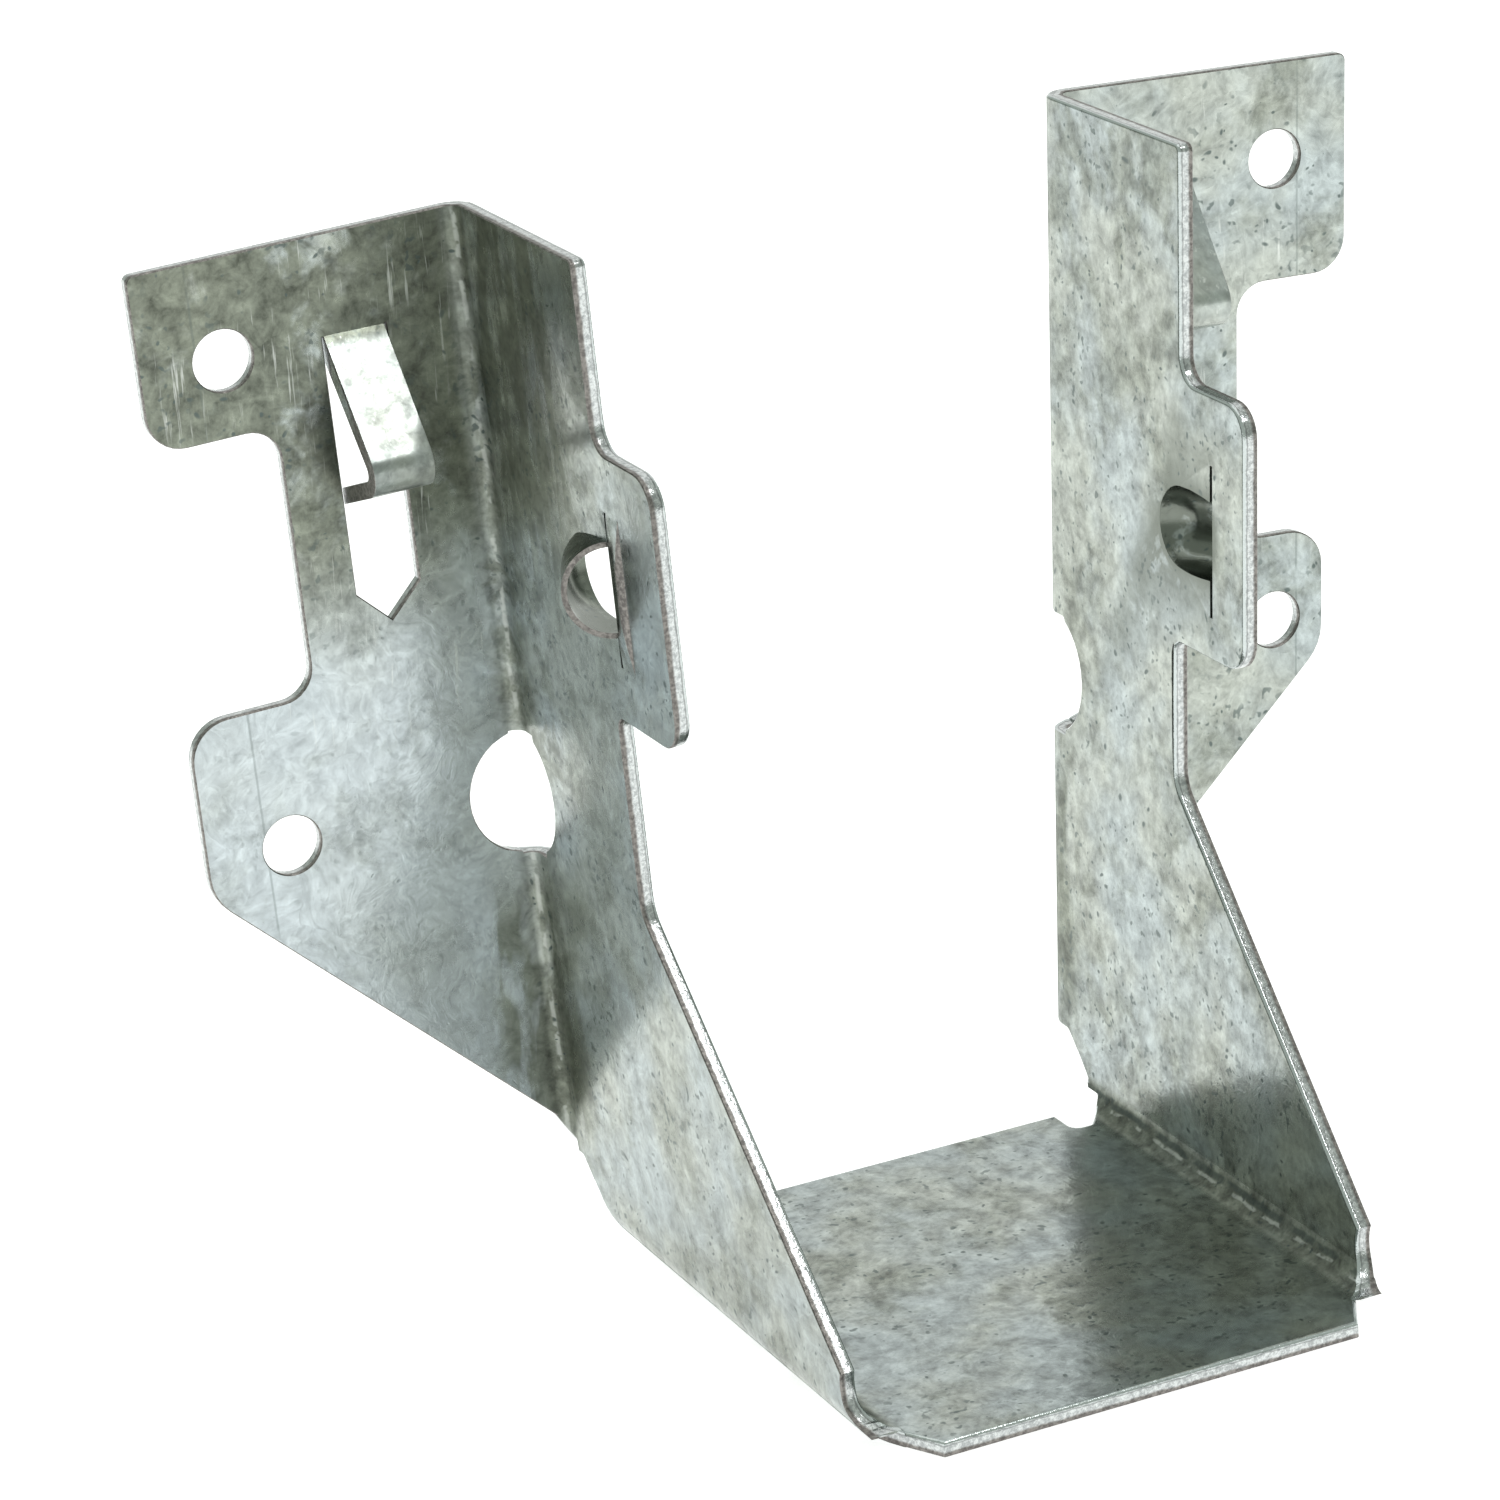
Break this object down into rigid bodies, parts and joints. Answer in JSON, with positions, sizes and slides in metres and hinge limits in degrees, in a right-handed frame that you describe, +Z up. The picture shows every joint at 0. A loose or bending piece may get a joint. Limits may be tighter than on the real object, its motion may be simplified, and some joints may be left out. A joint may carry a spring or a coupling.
{
  "type": "joist hanger",
  "caption": "Face-mount joist hanger folded from one galvanised sheet, with an open channel, nailing flanges, starter prongs and domes that guide slanting nails.",
  "frame": {"origin": "centre of the seat's underside", "axes": "+Z up along the sides; +Y from the seat's front edge to the header plane behind the flanges; X across the channel"},
  "size_m": [0.098, 0.0528, 0.0793],
  "materials": {
    "galvanised_steel": "hot-dip galvanised, satin with fine spangle"
  },
  "bodies": {
    "root": {"joist_hanger": "galvanised_steel"}
  },
  "joints": []
}
